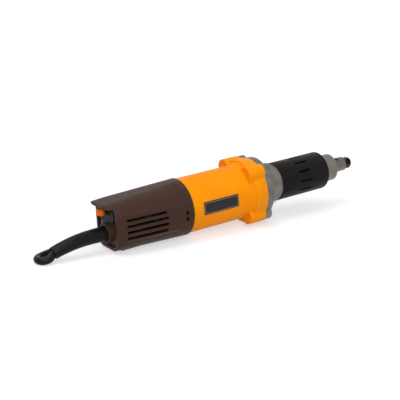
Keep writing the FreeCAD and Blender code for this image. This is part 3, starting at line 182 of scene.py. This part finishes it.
class Finish:
    """A node material whose patterns read the piece's own coordinates, in metres."""

    def __init__(self, name, roughness, colour=None, metallic=0.0):
        self.material = bpy.data.materials.new(name)
        self.material.use_nodes = True
        self.nodes = self.material.node_tree.nodes
        self.links = self.material.node_tree.links
        self.shader = self.nodes["Principled BSDF"]
        self.shader.inputs["Metallic"].default_value = metallic
        self.colour = colour
        self.roughness = roughness
        self.place = self.nodes.new("ShaderNodeTexCoord").outputs["Object"]

    def stretched(self, scale, turn):
        """The piece's coordinates turned and then scaled by axis."""
        mapping = self.nodes.new("ShaderNodeMapping")
        mapping.inputs["Rotation"].default_value = turn
        mapping.inputs["Scale"].default_value = scale
        self.links.new(self.place, mapping.inputs["Vector"])
        return mapping.outputs["Vector"]

    def noise(self, scale, detail=3.0, vector=None):
        texture = self.nodes.new("ShaderNodeTexNoise")
        texture.inputs["Scale"].default_value = scale
        texture.inputs["Detail"].default_value = detail
        self.links.new(vector or self.place, texture.inputs["Vector"])
        return texture.outputs["Fac"]

    def spread(self, value, low, high, low_in=0.3, high_in=0.7):
        """A pattern's value carried from one range to another."""
        node = self.nodes.new("ShaderNodeMapRange")
        ends = {"From Min": low_in, "From Max": high_in, "To Min": low, "To Max": high}
        for name, amount in ends.items():
            node.inputs[name].default_value = amount
        self.links.new(value, node.inputs["Value"])
        return node.outputs["Result"]

    def mixed(self, share, first, second):
        """Two colours mixed by a share."""
        node = self.nodes.new("ShaderNodeMix")
        node.data_type = "RGBA"
        self.links.new(share, node.inputs["Factor"])
        for socket, colour in (("A", first), ("B", second)):
            end = [item for item in node.inputs if item.name == socket and item.type == "RGBA"][0]
            if hasattr(colour, "links"):
                self.links.new(colour, end)
            else:
                end.default_value = (*colour, 1)
        return [item for item in node.outputs if item.type == "RGBA"][0]

    def maths(self, operation, *values):
        """One sum on patterns and numbers."""
        node = self.nodes.new("ShaderNodeMath")
        node.operation = operation
        for socket, value in zip(node.inputs, values):
            if hasattr(value, "links"):
                self.links.new(value, socket)
            else:
                socket.default_value = value
        return node.outputs[0]

    def paint(self, colour):
        self.links.new(colour, self.shader.inputs["Base Color"])

    def shine(self, level):
        self.shader.inputs["Specular IOR Level"].default_value = level

    def vary_colour(self, scale, amount):
        """Slow patches a little darker and lighter than the finish's own colour."""
        dark, light = scaled(self.colour, 1 - amount), scaled(self.colour, 1 + amount)
        colour = self.mixed(self.spread(self.noise(scale), 0, 1), dark, light)
        self.paint(colour)
        return colour

    def vary_roughness(self, scale, amount, vector=None):
        pattern = self.noise(scale, vector=vector)
        rough = self.spread(pattern, self.roughness - amount, self.roughness + amount)
        self.links.new(rough, self.shader.inputs["Roughness"])

    def bumps(self, height, depth, strength, below=None):
        """Relief from a height pattern, depth in metres."""
        node = self.nodes.new("ShaderNodeBump")
        node.inputs["Strength"].default_value = strength
        node.inputs["Distance"].default_value = depth
        self.links.new(height, node.inputs["Height"])
        if below is not None:
            self.links.new(below, node.inputs["Normal"])
        self.links.new(node.outputs["Normal"], self.shader.inputs["Normal"])
        return node.outputs["Normal"]

    def bands(self, scale, vector, dark, light, distortion=0.0):
        """Regular bands of two colours, which also give the height for a relief."""
        wave = self.nodes.new("ShaderNodeTexWave")
        wave.inputs["Scale"].default_value = scale
        wave.inputs["Distortion"].default_value = distortion
        self.links.new(vector, wave.inputs["Vector"])
        self.paint(self.mixed(wave.outputs["Fac"], dark, light))
        return wave.outputs["Fac"]

    def edge_highlight_and_crease_shade(self, colour, painted_highlight_colour, amount, painted_shade_colour):
        """Edges painted lighter as a highlight, where a rounded normal leaves the plain one, and
        inner corners painted darker as shade."""
        geometry = self.nodes.new("ShaderNodeNewGeometry")
        rounded = self.nodes.new("ShaderNodeBevel")
        rounded.samples = EDGE_SAMPLES
        rounded.inputs["Radius"].default_value = EDGE_REACH
        alike = self.nodes.new("ShaderNodeVectorMath")
        alike.operation = "DOT_PRODUCT"
        self.links.new(rounded.outputs["Normal"], alike.inputs[0])
        self.links.new(geometry.outputs["Normal"], alike.inputs[1])
        # Painted shade in inner corners, where the pointiness is low
        inner = self.spread(geometry.outputs["Pointiness"], 0, CREASE_SHADE_SHARE,
                            UNSHADED_POINTINESS, SHADED_POINTINESS)
        # Painted highlight where the rounded normal leaves the plain one
        edge = self.spread(alike.outputs["Value"], 0, amount, NO_HIGHLIGHT_LIKENESS, FULL_HIGHLIGHT_LIKENESS)
        return self.mixed(inner, self.mixed(edge, colour, painted_highlight_colour), painted_shade_colour)


def moulded(name, colour, roughness, grain, shine, relief):
    """Moulded plastic with a fine grain."""
    finish = Finish(name, roughness, colour)
    shade = finish.vary_colour(35, 0.06)
    # Edges painted lighter as a highlight and inner corners painted darker as shade
    finish.paint(finish.edge_highlight_and_crease_shade(shade, scaled(colour, 1.7, 0.006), 0.6, scaled(colour, 0.35)))
    finish.vary_roughness(180, 0.05)
    finish.bumps(finish.noise(grain, 4), 0.0001, relief)
    finish.shine(shine)
    return finish.material


def turned_metal(name, colour, roughness, rings):
    """Machined metal with fine marks round the spindle axis."""
    finish = Finish(name, roughness, colour, metallic=1.0)
    finish.vary_colour(60, 0.12)
    along = finish.stretched((rings, 30, 30), ALONG_AXIS)
    finish.vary_roughness(1, 0.1, vector=along)
    finish.bumps(finish.noise(1, 2, along), 0.00005, 0.25)
    return finish.material


def cast_metal(name, colour, roughness):
    """Die-cast aluminium with a soft skin, small pits and cloudy tone."""
    finish = Finish(name, roughness, colour, metallic=0.85)
    shade = finish.vary_colour(55, 0.32)
    # Edges painted lighter as a highlight and inner corners painted darker as shade
    finish.paint(finish.edge_highlight_and_crease_shade(shade, scaled(colour, 2.2), 0.7, scaled(colour, 0.3)))
    finish.vary_roughness(220, 0.1)
    skin = finish.bumps(finish.noise(700, 5), 0.0003, 0.4)
    finish.bumps(finish.noise(120, 2), 0.0004, 0.3, skin)
    return finish.material


def soft_rubber(name, colour, roughness, shine):
    """Smooth rubber with a faint skin."""
    finish = Finish(name, roughness, colour)
    finish.shine(shine)
    finish.vary_colour(50, 0.15)
    finish.vary_roughness(260, 0.08)
    finish.bumps(finish.noise(1500, 3), 0.0001, 0.4)
    return finish.material


def name_plate_film(name, colour, roughness):
    """A bare film with a fine pale line just inside its edge."""
    finish = Finish(name, roughness, colour)
    finish.shine(0.25)
    apart = finish.nodes.new("ShaderNodeSeparateXYZ")
    finish.links.new(finish.stretched((1, 1, 1), ALONG_AXIS), apart.inputs[0])
    line = None
    for inset in PLATE_LINE_INSETS:
        beyond = []
        for way, middle, half in (("X", PLATE_ALONG, PLATE_HALF_LENGTH),
                                  ("Z", PLATE_UP, PLATE_HALF_HEIGHT)):
            offset = finish.maths("SUBTRACT", apart.outputs[way], middle)
            distance = finish.maths("ABSOLUTE", offset)
            beyond.append(finish.maths("GREATER_THAN", distance, half - inset))
        either = finish.maths("MAXIMUM", *beyond)
        line = either if line is None else finish.maths("SUBTRACT", either, line)
    shade = finish.vary_colour(40, 0.15)
    finish.paint(finish.mixed(line, shade, PLATE_LINE_COLOUR))
    finish.vary_roughness(300, 0.06)
    finish.bumps(finish.noise(2200, 3), 0.0001, 0.12)
    return finish.material


def laminated_iron(name):
    """Stacked sheets: fine bands along the spindle axis."""
    finish = Finish(name, 0.45, metallic=0.9)
    along = finish.stretched((1, 0, 0), ALONG_AXIS)
    sheets = finish.bands(320, along, (0.12, 0.115, 0.11), (0.30, 0.29, 0.28))
    finish.vary_roughness(200, 0.1)
    finish.bumps(sheets, 0.0001, 0.5)
    return finish.material


def wound_copper(name):
    """Varnished wire laid round the spindle axis."""
    finish = Finish(name, 0.35, metallic=0.8)
    along = finish.stretched((1, 1, 1), ALONG_AXIS)
    wires = finish.bands(260, along, (0.20, 0.07, 0.03), (0.50, 0.20, 0.08), distortion=1.5)
    finish.vary_roughness(150, 0.08)
    finish.bumps(wires, 0.0003, 0.7)
    return finish.material


FINISHES = {
    "brown_plastic": moulded("brown_housing_plastic", (0.051, 0.024, 0.0165), 0.44,
                             grain=1100, shine=0.12, relief=0.4),
    "orange_plastic": moulded("orange_housing_plastic", (1.0, 0.305, 0.001), 0.45,
                              grain=1300, shine=0.08, relief=0.2),
    "knob_plastic": moulded("deep_orange_knob_plastic", (0.95, 0.165, 0.001), 0.42,
                            grain=1300, shine=0.08, relief=0.2),
    "black_plastic": moulded("black_moulded_plastic", (0.0082, 0.0073, 0.0068), 0.40,
                             grain=1500, shine=0.08, relief=0.3),
    "black_rubber": soft_rubber("black_cord_rubber", (0.006, 0.006, 0.006), 0.30, shine=0.12),
    "dark_label": name_plate_film("bare_name_plate_film", (0.014, 0.012, 0.011), 0.32),
    "cast_aluminium": cast_metal("cast_aluminium", (0.172, 0.153, 0.134), 0.42),
    "steel": turned_metal("turned_steel", (0.155, 0.138, 0.12), 0.22, rings=2600),
    "dark_steel": turned_metal("blackened_steel", (0.010, 0.009, 0.009), 0.36, rings=2200),
    "oiled_steel": turned_metal("oiled_steel", (0.045, 0.042, 0.038), 0.45, rings=2600),
    "iron": laminated_iron("laminated_iron"),
    "copper": wound_copper("wound_copper"),
    "brass": turned_metal("brass", (0.30, 0.20, 0.07), 0.38, rings=1800),
}
SLOT_OF = {row["node"]: row["material_slot"] for row in frame["record"]["subparts"]}

# Steel behind the vents gets the darker oiled steel as painted shade, since it would shine through
# them if it were bright
BEHIND_VENTS = ("armature_shaft", "middle_bearing", "tail_bearing")


def dress(piece, finish_name):
    piece.data.materials.clear()
    piece.data.materials.append(FINISHES[finish_name])


for name, node in NODES.items():
    # Pieces behind the vents are painted darker as shade
    dress(node, "oiled_steel" if name.startswith(BEHIND_VENTS) else SLOT_OF[name])
dress(NODES["lever_knob"], "knob_plastic")
dress(cord, "black_rubber")


# Moulded and machined edges of the CAD pieces get a small round of this width
EDGE_ROUNDS = {
    "rear_housing": 0.0003, "motor_housing": 0.0007, "neck_casting": 0.0004, "grip_sleeve": 0.0004,
    "tail_cap": 0.0006, "switch_plate": 0.0003, "collet_nut": 0.00025, "spindle": 0.00025,
    "plug_body": 0.0012, "plug_pins": 0.0006, "cord_boot": 0.0008, "housing_screws": 0.0003,
    "tail_cap_screws": 0.0003, "lever_knob": 0.0006,
}
EDGE_SEGMENTS = 3
SHARPER_THAN = math.radians(32)
WELD_WITHIN = 0.000002


def round_edges(node, width):
    weld = node.modifiers.new("weld", "WELD")
    weld.merge_threshold = WELD_WITHIN
    bevel = node.modifiers.new("edge_round", "BEVEL")
    bevel.width = width
    bevel.segments = EDGE_SEGMENTS
    bevel.limit_method = "ANGLE"
    bevel.angle_limit = SHARPER_THAN


for name, width in EDGE_ROUNDS.items():
    round_edges(NODES[name], width)


# Floor, lamps and a white surrounding, which looks brighter than it lights
FLOOR_HALF_SIZE = 12
FLOOR_SINK = 0.0001
FLOOR_COLOUR = (0.56, 0.56, 0.58)
FLOOR_GLOW, FLOOR_GLOW_SEEN = 0.14, 0.42
SKY_STRENGTH = 0.42


def seen_directly(nodes, links, strength, base):
    """A base strength, raised by a further strength where the eye, a reflection or a clear
    piece sees the surface."""
    path = nodes.new("ShaderNodeLightPath")
    total = path.outputs["Is Camera Ray"]
    for name in ("Is Glossy Ray", "Is Transmission Ray"):
        either = nodes.new("ShaderNodeMath")
        either.operation = "MAXIMUM"
        links.new(total, either.inputs[0])
        links.new(path.outputs[name], either.inputs[1])
        total = either.outputs[0]
    raised = nodes.new("ShaderNodeMath")
    raised.operation = "MULTIPLY_ADD"
    links.new(total, raised.inputs[0])
    raised.inputs[1].default_value = strength
    raised.inputs[2].default_value = base
    return raised.outputs[0]


def floor_material():
    finish = Finish("pale_floor", 0.7, FLOOR_COLOUR)
    finish.vary_colour(1.5, 0.005)
    finish.shine(0.0)
    nodes, links = finish.nodes, finish.links
    glow = nodes.new("ShaderNodeEmission")
    links.new(seen_directly(nodes, links, FLOOR_GLOW_SEEN, FLOOR_GLOW), glow.inputs["Strength"])
    both = nodes.new("ShaderNodeAddShader")
    links.new(finish.shader.outputs[0], both.inputs[0])
    links.new(glow.outputs[0], both.inputs[1])
    links.new(both.outputs[0], nodes["Material Output"].inputs["Surface"])
    return finish.material


def make_floor():
    mesh = bpy.data.meshes.new("floor")
    shape = bmesh.new()
    bmesh.ops.create_grid(shape, x_segments=1, y_segments=1, size=FLOOR_HALF_SIZE)
    bmesh.ops.translate(shape, verts=shape.verts, vec=(0, 0, FLOOR - FLOOR_SINK))
    shape.to_mesh(mesh)
    shape.free()
    floor = bpy.data.objects.new("floor", mesh)
    bpy.context.scene.collection.objects.link(floor)
    floor.data.materials.append(floor_material())


def make_surrounding():
    world = bpy.data.worlds.new("surrounding")
    bpy.context.scene.world = world
    world.use_nodes = True
    nodes, links = world.node_tree.nodes, world.node_tree.links
    background = nodes["Background"]
    background.inputs["Color"].default_value = (1, 1, 1, 1)
    strength = seen_directly(nodes, links, 1 - SKY_STRENGTH, SKY_STRENGTH)
    links.new(strength, background.inputs["Strength"])


def make_lamp(name, place, spread, strength):
    """A broad distant lamp that shines from a place towards the tool."""
    data = bpy.data.lights.new(name, "SUN")
    data.angle = math.radians(spread)
    data.energy = strength
    lamp = bpy.data.objects.new(name, data)
    lamp.location = place
    lamp.rotation_mode = "QUATERNION"
    lamp.rotation_quaternion = (-Vector(place)).to_track_quat("-Z", "Y")
    bpy.context.scene.collection.objects.link(lamp)


make_floor()
make_surrounding()
make_lamp("overhead_lamp", (-0.4, 0.0, 1.6), spread=40, strength=1.15)
make_lamp("side_lamp", (-0.6, -1.3, 0.9), spread=45, strength=1.15)

bpy.context.scene.view_settings.view_transform = "Standard"
